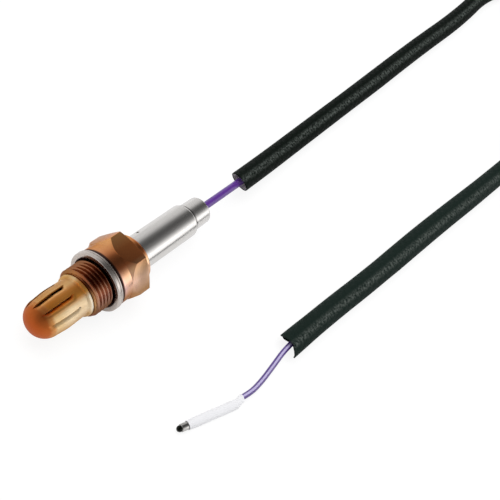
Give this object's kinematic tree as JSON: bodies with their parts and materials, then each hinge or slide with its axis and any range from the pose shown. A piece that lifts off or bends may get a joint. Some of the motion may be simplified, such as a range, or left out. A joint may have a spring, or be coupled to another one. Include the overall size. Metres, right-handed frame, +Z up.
{
  "type": "oxygen sensor",
  "caption": "Heaterless exhaust oxygen sensor: louvred shield, threaded hexagon body, seat gasket, steel rear sleeve and one insulated lead in a woven sleeve.",
  "frame": {"origin": "on the surface that the sensor lies on, under the middle of the sensor body without its lead", "axes": "+X along the sensor from its louvred tip to its wire end, +Z up, the hexagon flat opposite the resting one facing +Z"},
  "size_m": [0.4024, 0.0971, 0.0227],
  "materials": {
    "shell_steel": "copper-toned plating, satin",
    "shield_alloy": "heat-tinted, smooth",
    "gasket_steel": "dull grey",
    "stainless": "satin",
    "zirconia": "matt with a porous metal coat",
    "talc": "pressed powder",
    "steatite": "fired, unglazed",
    "contact_metal": "plain",
    "grommet_rubber": "matt",
    "wire_insulation": "extruded, glossy",
    "braid": "coated woven glass fibre",
    "boot_plastic": "moulded, soft sheen",
    "terminal_metal": "tinned"
  },
  "bodies": {
    "root": {"louvre_shield": "shield_alloy", "shell": "shell_steel", "seat_gasket": "gasket_steel", "sensing_element": "zirconia", "element_seat_washer": "gasket_steel", "talc_packing": "talc", "packing_ring": "gasket_steel", "insulator_bush": "steatite", "insulator_cap": "steatite", "disc_spring": "stainless", "crimp_ring": "gasket_steel", "rear_sleeve": "stainless", "cable_grommet": "grommet_rubber", "contact_pin": "contact_metal", "wire_ferrule": "contact_metal", "lead_wire": "wire_insulation", "woven_sleeve": "braid", "lead_wire_end": "wire_insulation", "terminal_boot": "boot_plastic", "bullet_terminal": "terminal_metal"}
  },
  "joints": []
}
